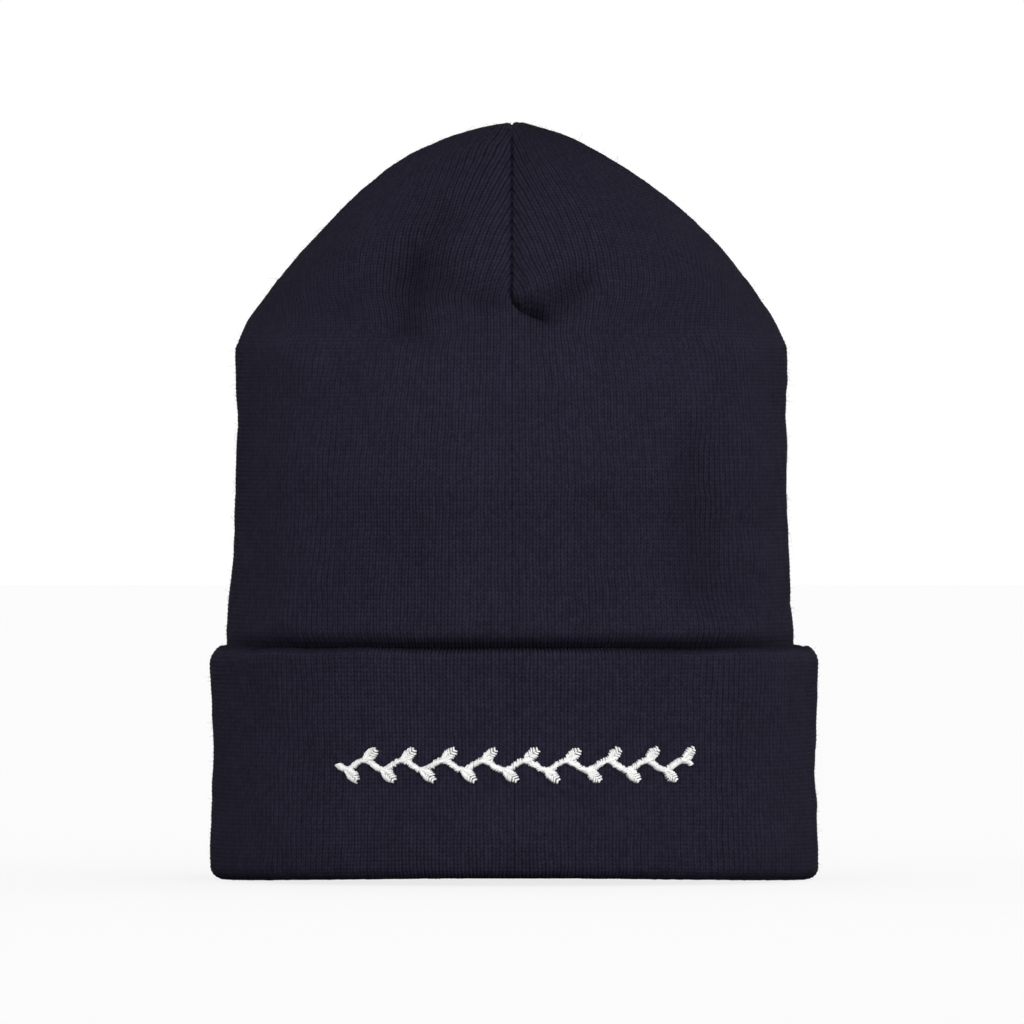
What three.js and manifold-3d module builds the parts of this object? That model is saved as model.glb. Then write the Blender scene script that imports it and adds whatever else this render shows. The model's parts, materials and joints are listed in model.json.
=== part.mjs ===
// A cuffed knit beanie, opened to the size it has on an adult head and standing on its brim.
//
// One long knitted tube is folded into itself, so the hat is two plies thick all over. From the outside in,
// the wall of the cuff is: cuff outer ply, embroidery backing, cuff inner ply, body outer ply, body lining ply.
// Both plies turn round at the brim, where the cuff is folded up, and the cuff's free top edge is a fold too.
// The crown of each ply is closed by four darts, sewn at the front, back, left and right, and one tack ties the
// two crowns together.
//
// Millimetres. +Z is up through the crown, -Y is the front with the embroidery, and z = 0 is the plane that
// the brim rests on.

import * as THREE from "three";
import { mergeVertices } from "three/addons/utils/BufferGeometryUtils.js";
import Module from "manifold-3d";

const wasm = await Module();
wasm.setup();

// ---- Driving dimensions ----

const HEIGHT = 221; // brim to top of crown
const HALF_WIDTH = 80.5; // X, outside of the body at mid height
const HALF_DEPTH = 98.5; // Y, the same
const FLARE = 2.5; // how much wider the body gets on each side where it goes into the cuff
const FLARE_TOP = 115; // the flare starts below this height
const CUFF_HEIGHT = 68;

const PLY = 2.2; // thickness of one knitted ply
const PLY_GAP = 0.8; // air between two plies
const BACKING_GAP = 1.2; // air between the cuff's plies, where the embroidery backing lies
const CUFF_GAP = 0.45; // air between the body and the cuff
const CROWN_GAP = 5; // extra air between the plies at the top of the crown, for the seam allowances

const FRONT_DOME = { height: 66, across: 1.68, up: 1.2 }; // the crown's outline seen from the front
const SIDE_DOME = { height: 108, across: 2, up: 1.35 }; // and from the side
const BODY_SQUARENESS = 2.3; // exponent of the oval plan of the body: 2 is an ellipse
const CROWN_SQUARENESS = 2; // and of the top of the crown

const ROUND_SEGMENTS = 40; // facets round the hat
const DOME_STEPS = 14; // rings up the crown
const FLARE_STEPS = 2; // rings down the flare

const FOLD_RADIUS = 3.8; // outside corners of the brim's turn, which lies flat between them
const FOLD_RISE = 8; // height the turned plies reach again on the body side
const FOLD_CLEARANCE = 0.4; // between the turned plies and the body plies above them
const ARC_STEPS = 2; // half the facets in each rounded corner of the cuff

const SEAM_WIDTH = 3.4; // across an overlocked dart seam
const SEAM_START = 5; // distance of the seams' upper ends from the middle of the crown
const FRONT_DART_DROP = 52.6; // height of the front and back darts, from the top of the crown
const SIDE_DART_DROP = 62; // the left and right darts, which end lower
const SEAM_STEPS = 9;
const SEAM_EASE = 1.6; // exponent that puts a seam's points closer together at its upper end
const OUTER_SEAM_SPAN = [0.12, 0.42]; // its place between the plies: 0 is the outer ply and 1 is the lining
const LINING_SEAM_SPAN = [0.58, 0.88];
const TACK_RADIUS = 2.2;
const TACK_SEGMENTS = 16;
const TACK_SPAN = [0.17, 0.94]; // of the way from the outer crown to the lining's crown

const MOTIF_LENGTH = 108; // the embroidered vine, along the cuff
const MOTIF_HEIGHT_ABOVE_BRIM = 34.5;
const MOTIF_WAVES = 9;
const MOTIF_WAVE_HEIGHT = 1.35; // from the middle line to a crest
const STEM_WIDTH = 1.5;
const STEM_STEPS = 6; // facets along one wave of the stem
const LEAF = { length: 5.6, width: 3, lean: 0.7, base: -0.6 }; // lean in radians, base back over the stem
const LEAF_SEGMENTS = 3; // facets along each side of a leaf
const STITCH_THICKNESS = 0.8;
const STITCH_CLEARANCE = 0.3;
const BACKING = { width: 124, height: 30, thickness: 0.35 };
const BACKING_STEPS = 24;

const LABEL = { width: 32, height: 34, thickness: 0.8, top: 54, clearance: 0.5 };
const LABEL_TACK = { width: 30, height: 2, thickness: 1, rise: 0.9 }; // rise above the label's top edge

// ---- Colours ----

const knit = new THREE.MeshStandardMaterial({ color: 0x25232f, roughness: 0.95, metalness: 0 });
const seamThread = new THREE.MeshStandardMaterial({ color: 0x1b1a24, roughness: 0.8, metalness: 0 });
const whiteThread = new THREE.MeshStandardMaterial({ color: 0xf2f1ec, roughness: 0.45, metalness: 0 });
const backing = new THREE.MeshStandardMaterial({ color: 0xe4e2dc, roughness: 0.9, metalness: 0 });
const satin = new THREE.MeshStandardMaterial({ color: 0xe9e7e2, roughness: 0.5, metalness: 0 });

// ---- The hat's shape ----

const smooth = (t) => t * t * (3 - 2 * t);
const clamp01 = (t) => Math.min(1, Math.max(0, t));

// A skin is one face of a ply: `side` moves its walls out from the body's outside, and `top` raises its
// crown. It says how wide, deep and square the hat is at height z.
function skin(side, top) {
  const apex = HEIGHT + top;
  const half = (size, dome, z) => {
    const start = HEIGHT - dome.height;
    const flare = FLARE * clamp01((FLARE_TOP - z) / (FLARE_TOP - CUFF_HEIGHT)) ** 2;
    if (z <= start) return size + side + flare;
    const rise = clamp01((z - start) / (apex - start));
    return (size + side + flare) * (1 - rise ** dome.up) ** (1 / dome.across);
  };
  const crownStart = HEIGHT - SIDE_DOME.height;
  return {
    apex,
    width: (z) => half(HALF_WIDTH, FRONT_DOME, z),
    depth: (z) => half(HALF_DEPTH, SIDE_DOME, z),
    squareness: (z) => {
      const rise = smooth(clamp01((z - crownStart) / (apex - crownStart)));
      return BODY_SQUARENESS + (CROWN_SQUARENESS - BODY_SQUARENESS) * rise;
    },
  };
}

// The point at `angle` on an oval: 0 is +X and a quarter turn is +Y.
function ovalPoint(width, depth, squareness, angle) {
  const bend = (c) => Math.sign(c) * Math.abs(c) ** (2 / squareness);
  return new THREE.Vector2(width * bend(Math.cos(angle)), depth * bend(Math.sin(angle)));
}

// Rings of {width, depth, squareness, z}, lathed and then pulled from round to oval, ring by ring.
function ovalLathe(rings) {
  const profile = rings.map((ring) => new THREE.Vector2(ring.width, ring.z));
  const geometry = new THREE.LatheGeometry(profile, ROUND_SEGMENTS);
  const position = geometry.getAttribute("position");
  for (let i = 0; i < position.count; i++) {
    const ring = rings[i % rings.length];
    const column = Math.floor(i / rings.length) % ROUND_SEGMENTS;
    const angle = (2 * Math.PI * column) / ROUND_SEGMENTS;
    const { x, y } = ovalPoint(ring.width, ring.depth, ring.squareness, angle);
    position.setXYZ(i, x, y, ring.z);
  }
  geometry.deleteAttribute("normal");
  geometry.deleteAttribute("uv");
  return geometry;
}

// ---- Body plies ----

// Heights up one skin from `bottom` to its apex, closer together towards the top.
function skinHeights(apex, bottom) {
  const domeStart = HEIGHT - SIDE_DOME.height;
  const heights = [bottom];
  for (let i = 0; i < FLARE_STEPS; i++) {
    heights.push(CUFF_HEIGHT + ((domeStart - CUFF_HEIGHT) * i) / FLARE_STEPS);
  }
  for (let i = 0; i <= DOME_STEPS; i++) {
    heights.push(domeStart + (apex - domeStart) * Math.sin(((Math.PI / 2) * i) / DOME_STEPS));
  }
  return heights;
}

function skinRings(face, bottom) {
  return skinHeights(face.apex, bottom).map((z) => ({
    width: face.width(z),
    depth: face.depth(z),
    squareness: face.squareness(z),
    z,
  }));
}

// A bowl-shaped ply between two skins, open at the bottom.
function bodyPly(outside, inside) {
  const bottom = FOLD_RISE + FOLD_CLEARANCE;
  return ovalLathe([...skinRings(inside, bottom).reverse(), ...skinRings(outside, bottom)]);
}

const OUTER_INSIDE = -PLY;
const LINING_OUTSIDE = -PLY - PLY_GAP;
const LINING_INSIDE = LINING_OUTSIDE - PLY;

const bodyOuterPly = bodyPly(skin(0, 0), skin(OUTER_INSIDE, OUTER_INSIDE));
const bodyLiningPly = bodyPly(
  skin(LINING_OUTSIDE, LINING_OUTSIDE - CROWN_GAP),
  skin(LINING_INSIDE, LINING_INSIDE - CROWN_GAP),
);

// ---- Cuff plies ----

// Places across the wall, measured outwards from the body's outside at the cuff.
const INNER_PLY = { from: CUFF_GAP, to: CUFF_GAP + PLY };
const OUTER_PLY = { from: INNER_PLY.to + BACKING_GAP, to: INNER_PLY.to + BACKING_GAP + PLY };

const quarter = Math.PI / 2;
const SAME_POINT = 1e-3; // points of a section closer than this are one corner

// The cuff's outer ply in section: its free edge folds over at the top, and at the brim it turns under and
// up again.
function cuffOuterSection() {
  const edgeMiddle = (INNER_PLY.from + OUTER_PLY.to) / 2;
  const edgeRadius = (OUTER_PLY.to - INNER_PLY.from) / 2;
  const edgeCentre = CUFF_HEIGHT - edgeRadius;
  const hem = edgeCentre - FOLD_CLEARANCE;
  const right = OUTER_PLY.to - FOLD_RADIUS;
  const left = LINING_INSIDE + FOLD_RADIUS;
  const inner = FOLD_RADIUS - PLY;
  return new THREE.Path()
    .moveTo(INNER_PLY.from, hem)
    .lineTo(INNER_PLY.from, edgeCentre)
    .absarc(edgeMiddle, edgeCentre, edgeRadius, Math.PI, 0, true)
    .absarc(right, FOLD_RADIUS, FOLD_RADIUS, 0, -quarter, true)
    .absarc(left, FOLD_RADIUS, FOLD_RADIUS, -quarter, -Math.PI, true)
    .lineTo(LINING_INSIDE, FOLD_RISE)
    .lineTo(LINING_OUTSIDE, FOLD_RISE)
    .absarc(left, FOLD_RADIUS, inner, -Math.PI, -quarter, false)
    .absarc(right, FOLD_RADIUS, inner, -quarter, 0, false)
    .absarc(edgeMiddle, edgeCentre, edgeRadius - PLY, 0, Math.PI, false)
    .lineTo(INNER_PLY.to, hem)
    .lineTo(INNER_PLY.from, hem);
}

// The cuff's inner ply in section: a band against the body, with its own turn nested in the outer ply's.
function cuffInnerSection() {
  const top = CUFF_HEIGHT - (OUTER_PLY.to - INNER_PLY.from) / 2 - 2 * FOLD_CLEARANCE;
  const bottom = PLY + FOLD_CLEARANCE;
  const radius = PLY;
  const slot = bottom + PLY;
  return new THREE.Path()
    .moveTo(INNER_PLY.from, top)
    .lineTo(INNER_PLY.to, top)
    .absarc(INNER_PLY.to - radius, bottom + radius, radius, 0, -quarter, true)
    .absarc(OUTER_INSIDE + radius, bottom + radius, radius, -quarter, -Math.PI, true)
    .lineTo(OUTER_INSIDE, FOLD_RISE)
    .lineTo(0, FOLD_RISE)
    .lineTo(0, slot)
    .lineTo(INNER_PLY.from, slot)
    .lineTo(INNER_PLY.from, top);
}

// Sweeps a closed section of the cuff's wall round the hat.
function cuffRing(section) {
  const cuffSkin = skin(0, 0);
  const points = section.getPoints(ARC_STEPS);
  const corners = points.filter((point, i) => i === 0 || point.distanceTo(points[i - 1]) > SAME_POINT);
  const rings = corners.map((point) => ({
    width: cuffSkin.width(0) + point.x,
    depth: cuffSkin.depth(0) + point.x,
    squareness: BODY_SQUARENESS,
    z: point.y,
  }));
  return ovalLathe(rings.reverse());
}

const cuffOuterPly = cuffRing(cuffOuterSection());
const cuffInnerPly = cuffRing(cuffInnerSection());

// ---- Crown seams ----

// The skin that lies a share `k` of the way from the outer ply to the lining.
const betweenPlies = (k) => skin(OUTER_INSIDE - PLY_GAP * k, OUTER_INSIDE - (PLY_GAP + CROWN_GAP) * k);

const SEARCH_STEP = 0.05; // down from the apex, to find where a seam starts

// Points down one skin in its middle plane, as (distance from the axis, height), from the crown to the end of
// the dart.
function seamLine(face, reach, drop) {
  const points = [];
  const end = HEIGHT - drop;
  let top = face.apex;
  while (reach(face, top) < SEAM_START) top -= SEARCH_STEP;
  for (let i = 0; i <= SEAM_STEPS; i++) {
    const z = top + (end - top) * (i / SEAM_STEPS) ** SEAM_EASE;
    points.push(new THREE.Vector2(reach(face, z), z));
  }
  return points;
}

// An overlocked dart seam: a strip in a plane through the axis, thinner towards the dart's end.
function seamStrip([near, far], reach, drop) {
  const outer = seamLine(betweenPlies(near), reach, drop);
  const inner = seamLine(betweenPlies(far), reach, drop);
  const shape = new THREE.Shape([...outer, ...inner.reverse()]);
  const geometry = new THREE.ExtrudeGeometry(shape, { depth: SEAM_WIDTH, bevelEnabled: false });
  return geometry.translate(0, 0, -SEAM_WIDTH / 2).rotateX(quarter);
}

const alongWidth = (face, z) => face.width(z);
const alongDepth = (face, z) => face.depth(z);

const DARTS = [
  { name: "right", turn: 0, reach: alongWidth, drop: SIDE_DART_DROP },
  { name: "back", turn: quarter, reach: alongDepth, drop: FRONT_DART_DROP },
  { name: "left", turn: 2 * quarter, reach: alongWidth, drop: SIDE_DART_DROP },
  { name: "front", turn: 3 * quarter, reach: alongDepth, drop: FRONT_DART_DROP },
];

function crownTack() {
  const room = PLY_GAP + CROWN_GAP;
  const top = HEIGHT + OUTER_INSIDE - room * TACK_SPAN[0];
  const bottom = HEIGHT + OUTER_INSIDE - room * TACK_SPAN[1];
  const geometry = new THREE.CylinderGeometry(TACK_RADIUS, TACK_RADIUS, top - bottom, TACK_SEGMENTS);
  return geometry.rotateX(quarter).translate(0, 0, (top + bottom) / 2);
}

// ---- Embroidery ----

const MERGE_DISTANCE = 1e-4;
const TABLE_STEPS = 400; // in the table of lengths along a quarter of the cuff

function solidOf(geometry) {
  const bare = geometry.clone();
  bare.deleteAttribute("normal");
  bare.deleteAttribute("uv");
  const merged = mergeVertices(bare, MERGE_DISTANCE);
  const vertProperties = merged.getAttribute("position").array;
  return new wasm.Manifold(new wasm.Mesh({ numProp: 3, vertProperties, triVerts: merged.index.array }));
}

function geometryOf(solid) {
  const { vertProperties, triVerts } = solid.getMesh();
  return new THREE.BufferGeometry()
    .setAttribute("position", new THREE.BufferAttribute(vertProperties, 3))
    .setIndex(new THREE.BufferAttribute(triVerts, 1));
}

// Wraps a flat piece round the front of the cuff: x runs along the cuff, y up, and z out from `offset`.
function wrapOnCuff(geometry, offset) {
  const cuffSkin = skin(0, 0);
  const width = cuffSkin.width(0) + offset;
  const depth = cuffSkin.depth(0) + offset;
  const table = [{ length: 0, angle: 0 }];
  let last = ovalPoint(width, depth, BODY_SQUARENESS, -quarter);
  for (let i = 1; i <= TABLE_STEPS; i++) {
    const angle = (i / TABLE_STEPS) * quarter;
    const point = ovalPoint(width, depth, BODY_SQUARENESS, angle - quarter);
    table.push({ length: table.at(-1).length + point.distanceTo(last), angle });
    last = point;
  }
  const angleAt = (length) => {
    const i = table.findIndex((row) => row.length >= length);
    const [low, high] = [table[Math.max(i - 1, 0)], table[Math.max(i, 1)]];
    return low.angle + ((high.angle - low.angle) * (length - low.length)) / (high.length - low.length);
  };
  const position = geometry.getAttribute("position");
  for (let i = 0; i < position.count; i++) {
    const along = position.getX(i);
    const angle = Math.sign(along) * angleAt(Math.abs(along)) - quarter;
    const out = position.getZ(i);
    const place = ovalPoint(width + out, depth + out, BODY_SQUARENESS, angle);
    position.setXYZ(i, place.x, place.y, position.getY(i));
  }
  return geometry;
}

function stitched(shape, curveSegments) {
  return new THREE.ExtrudeGeometry(shape, { depth: STITCH_THICKNESS, bevelEnabled: false, curveSegments });
}

const waveAngle = (x) => (2 * Math.PI * MOTIF_WAVES * x) / MOTIF_LENGTH;
const stemHeight = (x) => MOTIF_WAVE_HEIGHT * Math.sin(waveAngle(x));

function stem() {
  const steps = MOTIF_WAVES * STEM_STEPS;
  const upper = [];
  const lower = [];
  for (let i = 0; i <= steps; i++) {
    const x = MOTIF_LENGTH * (i / steps - 0.5);
    upper.push(new THREE.Vector2(x, stemHeight(x) + STEM_WIDTH / 2));
    lower.push(new THREE.Vector2(x, stemHeight(x) - STEM_WIDTH / 2));
  }
  return stitched(new THREE.Shape([...lower, ...upper.reverse()]));
}

// A pointed leaf with its base on the stem at x, above it or below it.
function leaf(x, side) {
  const { length, width, lean, base } = LEAF;
  const shape = new THREE.Shape();
  shape.moveTo(base, 0);
  shape.quadraticCurveTo(length / 2, width, length, 0);
  shape.quadraticCurveTo(length / 2, -width, base, 0);
  return stitched(shape, LEAF_SEGMENTS).rotateZ(side * lean).translate(x, stemHeight(x), 0);
}

// A running vine: a wavy stem with a leaf above it at each crest and below it at each trough.
function vine() {
  let solid = solidOf(stem());
  for (let i = 0; i < 2 * MOTIF_WAVES; i++) {
    const x = MOTIF_LENGTH * ((i + 0.5) / (2 * MOTIF_WAVES) - 0.5);
    solid = solid.add(solidOf(leaf(x, Math.sign(stemHeight(x)))));
  }
  const wrapped = wrapOnCuff(geometryOf(solid), OUTER_PLY.to + STITCH_CLEARANCE);
  return wrapped.translate(0, 0, MOTIF_HEIGHT_ABOVE_BRIM);
}

function backingSheet() {
  const { width, height, thickness } = BACKING;
  const sheet = new THREE.BoxGeometry(width, height, thickness, BACKING_STEPS, 1, 1);
  const wrapped = wrapOnCuff(sheet, (INNER_PLY.to + OUTER_PLY.from) / 2);
  return wrapped.translate(0, 0, MOTIF_HEIGHT_ABOVE_BRIM);
}

// ---- Label ----

// How far back the lining's inside is, at the label's corners.
function liningBack() {
  const lining = skin(LINING_INSIDE, 0);
  const aside = LABEL.width / 2 / lining.width(0);
  return lining.depth(0) * (1 - aside ** BODY_SQUARENESS) ** (1 / BODY_SQUARENESS);
}

const labelMiddleY = liningBack() - LABEL.clearance - LABEL.thickness / 2;

function careLabel() {
  const { width, height, thickness, top } = LABEL;
  return new THREE.BoxGeometry(width, thickness, height).translate(0, labelMiddleY, top - height / 2);
}

function labelTack() {
  const { width, height, thickness, rise } = LABEL_TACK;
  const back = liningBack() - LABEL.clearance / 2;
  return new THREE.BoxGeometry(width, thickness, height).translate(
    0,
    back - thickness / 2,
    LABEL.top + rise + height / 2,
  );
}

// ---- Assembly ----

function node(name, geometry, material) {
  const mesh = new THREE.Mesh(geometry, material);
  mesh.name = name;
  return mesh;
}

const brim = new THREE.Group();
brim.add(
  node("cuff_outer_ply", cuffOuterPly, knit),
  node("cuff_inner_ply", cuffInnerPly, knit),
  node("embroidery", vine(), whiteThread),
  node("embroidery_backing", backingSheet(), backing),
);

const crown = new THREE.Group();
crown.add(
  node("body_outer_ply", bodyOuterPly, knit),
  node("body_lining_ply", bodyLiningPly, knit),
  node("crown_tack", crownTack(), seamThread),
  node("label_tack", labelTack(), seamThread),
);
for (const { name, turn, reach, drop } of DARTS) {
  const outerSeam = node(`crown_seam_${name}`, seamStrip(OUTER_SEAM_SPAN, reach, drop), seamThread);
  const liningSeam = node(`lining_seam_${name}`, seamStrip(LINING_SEAM_SPAN, reach, drop), seamThread);
  outerSeam.rotation.z = turn;
  liningSeam.rotation.z = turn;
  crown.add(outerSeam, liningSeam);
}

const label = new THREE.Group();
label.add(node("care_label", careLabel(), satin));

const beanie = new THREE.Group();
beanie.add(brim, crown, label);

export default beanie;
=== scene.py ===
"""Cuffed knit beanie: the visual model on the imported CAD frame.

Every stitch of the knit is real relief on the surface. Lengths here are in millimetres until a mesh is
made, and heights are above the plane that the brim rests on."""

import json

import bpy
import numpy as np
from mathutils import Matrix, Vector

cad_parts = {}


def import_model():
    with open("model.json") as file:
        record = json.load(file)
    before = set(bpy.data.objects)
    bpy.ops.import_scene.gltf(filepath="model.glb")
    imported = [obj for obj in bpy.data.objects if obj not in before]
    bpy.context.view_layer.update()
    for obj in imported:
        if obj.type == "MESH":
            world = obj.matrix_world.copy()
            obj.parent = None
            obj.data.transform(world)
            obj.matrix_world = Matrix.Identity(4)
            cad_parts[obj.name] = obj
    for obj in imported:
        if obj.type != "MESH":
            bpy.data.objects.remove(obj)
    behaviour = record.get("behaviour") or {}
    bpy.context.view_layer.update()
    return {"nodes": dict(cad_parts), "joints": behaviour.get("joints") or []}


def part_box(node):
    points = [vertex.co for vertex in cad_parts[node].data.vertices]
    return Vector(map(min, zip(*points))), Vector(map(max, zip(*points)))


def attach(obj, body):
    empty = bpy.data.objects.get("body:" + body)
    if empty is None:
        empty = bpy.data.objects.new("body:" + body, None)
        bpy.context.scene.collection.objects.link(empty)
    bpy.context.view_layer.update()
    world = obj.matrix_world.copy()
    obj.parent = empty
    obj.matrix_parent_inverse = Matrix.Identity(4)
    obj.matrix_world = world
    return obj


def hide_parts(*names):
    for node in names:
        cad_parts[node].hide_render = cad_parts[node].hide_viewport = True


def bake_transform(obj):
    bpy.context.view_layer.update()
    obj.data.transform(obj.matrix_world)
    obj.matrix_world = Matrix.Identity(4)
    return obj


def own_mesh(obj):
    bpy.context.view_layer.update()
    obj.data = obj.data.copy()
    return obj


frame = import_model()

MM = 0.001
rng = np.random.default_rng(20)  # for the threads, the backing sheet and the loose fibres


# ---- The hat's shape, as in the CAD part ----

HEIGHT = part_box("body_outer_ply")[1][2] / MM
CUFF_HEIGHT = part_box("cuff_outer_ply")[1][2] / MM
HALF_WIDTH = 80.5
HALF_DEPTH = 98.5
FLARE = 2.5  # how much wider the body gets on each side where it goes into the cuff
FLARE_TOP = 115.0
FLARE_BOTTOM = 68.0
FRONT_DOME = (66.0, 1.68, 1.2)  # the crown's height and its outline's exponents, seen from the front
SIDE_DOME = (108.0, 2.0, 1.35)  # and from the side
BODY_SQUARENESS = 2.3
CROWN_SQUARENESS = 2.0

CUFF_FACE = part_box("cuff_outer_ply")[1][0] / MM - HALF_WIDTH - FLARE  # how far out from the body's face
CUFF_GAP = 0.45  # air between the body and the cuff
LINING_FACE = -5.2  # out from the body's face
LINING_TOP = -10.2  # up from the crown's top
FOLD_RADIUS = 3.8  # corners of the brim's turn
EDGE_RADIUS = (CUFF_FACE - CUFF_GAP) / 2  # the turn over the cuff's free edge
EDGE_MIDDLE = (CUFF_FACE + CUFF_GAP) / 2
DART_HEIGHT = HEIGHT - 52.6  # lower ends of the front and back darts
SIDE_DART_HEIGHT = HEIGHT - 62.0  # and of the left and right darts
SEAM_ROOM = 1.4  # how far in the cloth may lie over an overlocked seam, with its stitches' relief on top

joint_names = [joint["name"] for joint in frame["joints"]]
TRAVEL = frame["joints"][joint_names.index("cuff_unroll")]["range_m"][1] / MM
FOLD_START = 2.0  # the body's reserve of knit lies between these heights inside the brim
FOLD_END = 8.4

# ---- The knit ----

WALES = 72  # ribs in a quarter of the hat
COURSE = 1.23  # height of one row of stitches
BODY_STITCHES = (0.75, 11)  # depth of the relief, and the seed of the differences between stitches
CUFF_STITCHES = (0.78, 21)
LINING_STITCHES = (0.6, 41)
RESERVE_STITCHES = (0.65, 71)
CROWN_SPACING = 1.08  # distance between wales up on the crown, compared with lower down
FACE_CUT = 11.0  # wales that the front or back dart takes from each side
GATHER = 3.6  # how far a front or back dart draws the wales to it
GATHER_REACH = 13.0
LEG_RISE = 0.5  # how far a stitch's legs climb, in courses, from the middle of its V to its edges

# Unevenness, as sums of waves: how many there are, the shortest, the longest, and the seed.
BODY_SWELL = (10, 28, 70, 5)
BODY_RIPPLE = (14, 7, 16, 6)
SEAM_RIPPLE = (10, 3.5, 7, 7)
LINING_SWELL = (10, 25, 60, 9)
CUFF_SWELL = (10, 24, 60, 15)
CUFF_RIPPLE = (12, 8, 15, 16)
CUFF_EDGE_WAVE = (8, 18, 50, 17)
BODY_WANDER = (14, 8, 24, 24)  # of the wales, sideways
CUFF_WANDER = (14, 8, 24, 25)


def box_mm(node):
    """Lowest and highest corner of a CAD node."""
    return (np.array(corner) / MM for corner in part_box(node))


def clip01(t):
    return np.clip(t, 0, 1)


def smooth(t):
    t = clip01(t)
    return t * t * (3 - 2 * t)


def half_size(size, dome, z, side, top):
    """Half width or depth at heights z of a face that lies side out from the body's and top above its
    crown."""
    height, across, up = dome
    start = HEIGHT - height
    flare = FLARE * clip01((FLARE_TOP - z) / (FLARE_TOP - FLARE_BOTTOM)) ** 2
    rise = clip01((z - start) / (HEIGHT + top - start))
    return (size + side + flare) * (1 - rise**up) ** (1 / across)


def plan(z, side=0.0, top=0.0):
    """Half width, half depth and squareness of the hat at heights z."""
    start = HEIGHT - SIDE_DOME[0]
    rise = smooth((z - start) / (HEIGHT + top - start))
    squareness = BODY_SQUARENESS + (CROWN_SQUARENESS - BODY_SQUARENESS) * rise
    width = half_size(HALF_WIDTH, FRONT_DOME, z, side, top)
    depth = half_size(HALF_DEPTH, SIDE_DOME, z, side, top)
    return width, depth, squareness


def waves(points, kind):
    """Smooth noise in about -1 to 1: a sum of waves in random directions."""
    count, shortest, longest, seed = kind
    r = np.random.default_rng(seed)
    total = np.zeros(points.shape[:-1])
    for _ in range(count):
        direction = r.normal(size=3)
        direction /= np.linalg.norm(direction)
        length = shortest + (longest - shortest) * r.random()
        total += np.sin(points @ direction * (2 * np.pi / length) + r.random() * 2 * np.pi)
    return total / np.sqrt(count)


def stitch_relief(cell, course, tightness, closed):
    """Height of the knit's surface, 0 in the grooves to about 1 on the crests, at wale and course
    coordinates. Where closed is 1 a wale's two legs lie together, so that the grooves between wales are
    the deepest."""
    across = np.abs(2 * (cell - np.floor(cell)) - 1)  # 0 in the middle of a V, 1 at its edges
    phase = course - LEG_RISE * across
    strand = (0.5 + 0.5 * np.cos(2 * np.pi * phase)) ** 0.6
    leg = np.abs(np.sin(2 * np.pi * cell)) ** 0.6
    leg = leg + closed * 0.7 * (1 - leg) * (1 - across) ** 2
    strand = 0.48 * strand * tightness * (1 - 0.5 * closed) + 0.2 * closed
    return (1 - (0.3 + 0.5 * closed) * across**6) * (0.12 + leg * (0.40 + strand))


# ---- Building meshes ----


def make_piece(name, vertices, faces, material, uv=None, knit=None, painted_shade=None):
    """A mesh object from points in mm and a list of face index arrays, smooth shaded. knit is the wale
    and course of each point, and the last argument is how much painted shade the knit's material gives
    each point for the crease it lies in."""
    mesh = bpy.data.meshes.new(name)
    flat = np.concatenate([f.ravel() for f in faces]).astype(np.int32)
    sizes = np.concatenate([np.full(len(f), f.shape[1], np.int32) for f in faces])
    starts = np.concatenate([[0], np.cumsum(sizes)[:-1]]).astype(np.int32)
    mesh.vertices.add(len(vertices))
    mesh.vertices.foreach_set("co", (vertices * MM).astype(np.float32).ravel())
    mesh.loops.add(len(flat))
    mesh.loops.foreach_set("vertex_index", flat)
    mesh.polygons.add(len(sizes))
    mesh.polygons.foreach_set("loop_start", starts)
    mesh.polygons.foreach_set("loop_total", sizes)
    mesh.polygons.foreach_set("use_smooth", np.ones(len(sizes), bool))
    for layer, values in (("OFBake", uv), ("knit", knit)):
        if values is not None:
            mesh.uv_layers.new(name=layer).data.foreach_set("uv", values[flat].astype(np.float32).ravel())
    # Painted shade for the creases, stored on each point for the knit's material.
    if painted_shade is not None:
        mesh.attributes.new("painted_shade", "FLOAT", "POINT").data.foreach_set("value", painted_shade.astype(np.float32))
    mesh.update(calc_edges=True)
    mesh.materials.append(material)
    piece = bpy.data.objects.new(name, mesh)
    bpy.context.scene.collection.objects.link(piece)
    return piece


def grid_faces(index, flip):
    """Quads and triangles of a grid of vertex indices, in which neighbours may share one vertex."""
    a, b, c, d = index[:-1, :-1], index[:-1, 1:], index[1:, 1:], index[1:, :-1]
    quads = np.stack([a, b, c, d], -1).reshape(-1, 4)
    if flip:
        quads = quads[:, ::-1]
    same = quads == np.roll(quads, -1, axis=1)
    whole = quads[~same.any(1)]
    triangles = []
    for corner in range(4):
        rows = quads[same[:, corner] & (same.sum(1) == 1)]
        triangles.append(np.delete(rows, corner, axis=1))
    return [whole, np.concatenate(triangles)]


NEVER_ALONG = (0.31, 0.17, 0.93)  # a direction that no thread or fibre follows


def tubes(name, paths, radius, sides, material):
    """One piece made of many closed tubes. paths holds (tubes, points, 3), and radius fits (tubes,
    points)."""
    count, steps, _ = paths.shape
    along = np.gradient(paths, axis=1)
    along /= np.linalg.norm(along, axis=-1, keepdims=True)
    aside = np.cross(along, NEVER_ALONG)
    aside /= np.linalg.norm(aside, axis=-1, keepdims=True)
    above = np.cross(aside, along)
    angle = 2 * np.pi * np.arange(sides) / sides
    ring = np.cos(angle)[:, None] * aside[:, :, None] + np.sin(angle)[:, None] * above[:, :, None]
    points = paths[:, :, None] + ring * np.broadcast_to(radius, (count, steps))[:, :, None, None]
    index = np.arange(count * steps * sides).reshape(count, steps, sides)
    onward = np.roll(index, -1, axis=2)
    walls = np.stack([index[:, :-1], index[:, 1:], onward[:, 1:], onward[:, :-1]], -1).reshape(-1, 4)
    ends = np.concatenate([index[:, 0], index[:, -1, ::-1]])
    return make_piece(name, points.reshape(-1, 3), [walls, ends], material)


# The signs of X and Y in each quarter of the hat.
QUARTERS = {
    "back_left": (1, 1),
    "back_right": (-1, 1),
    "front_right": (-1, -1),
    "front_left": (1, -1),
}


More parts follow.
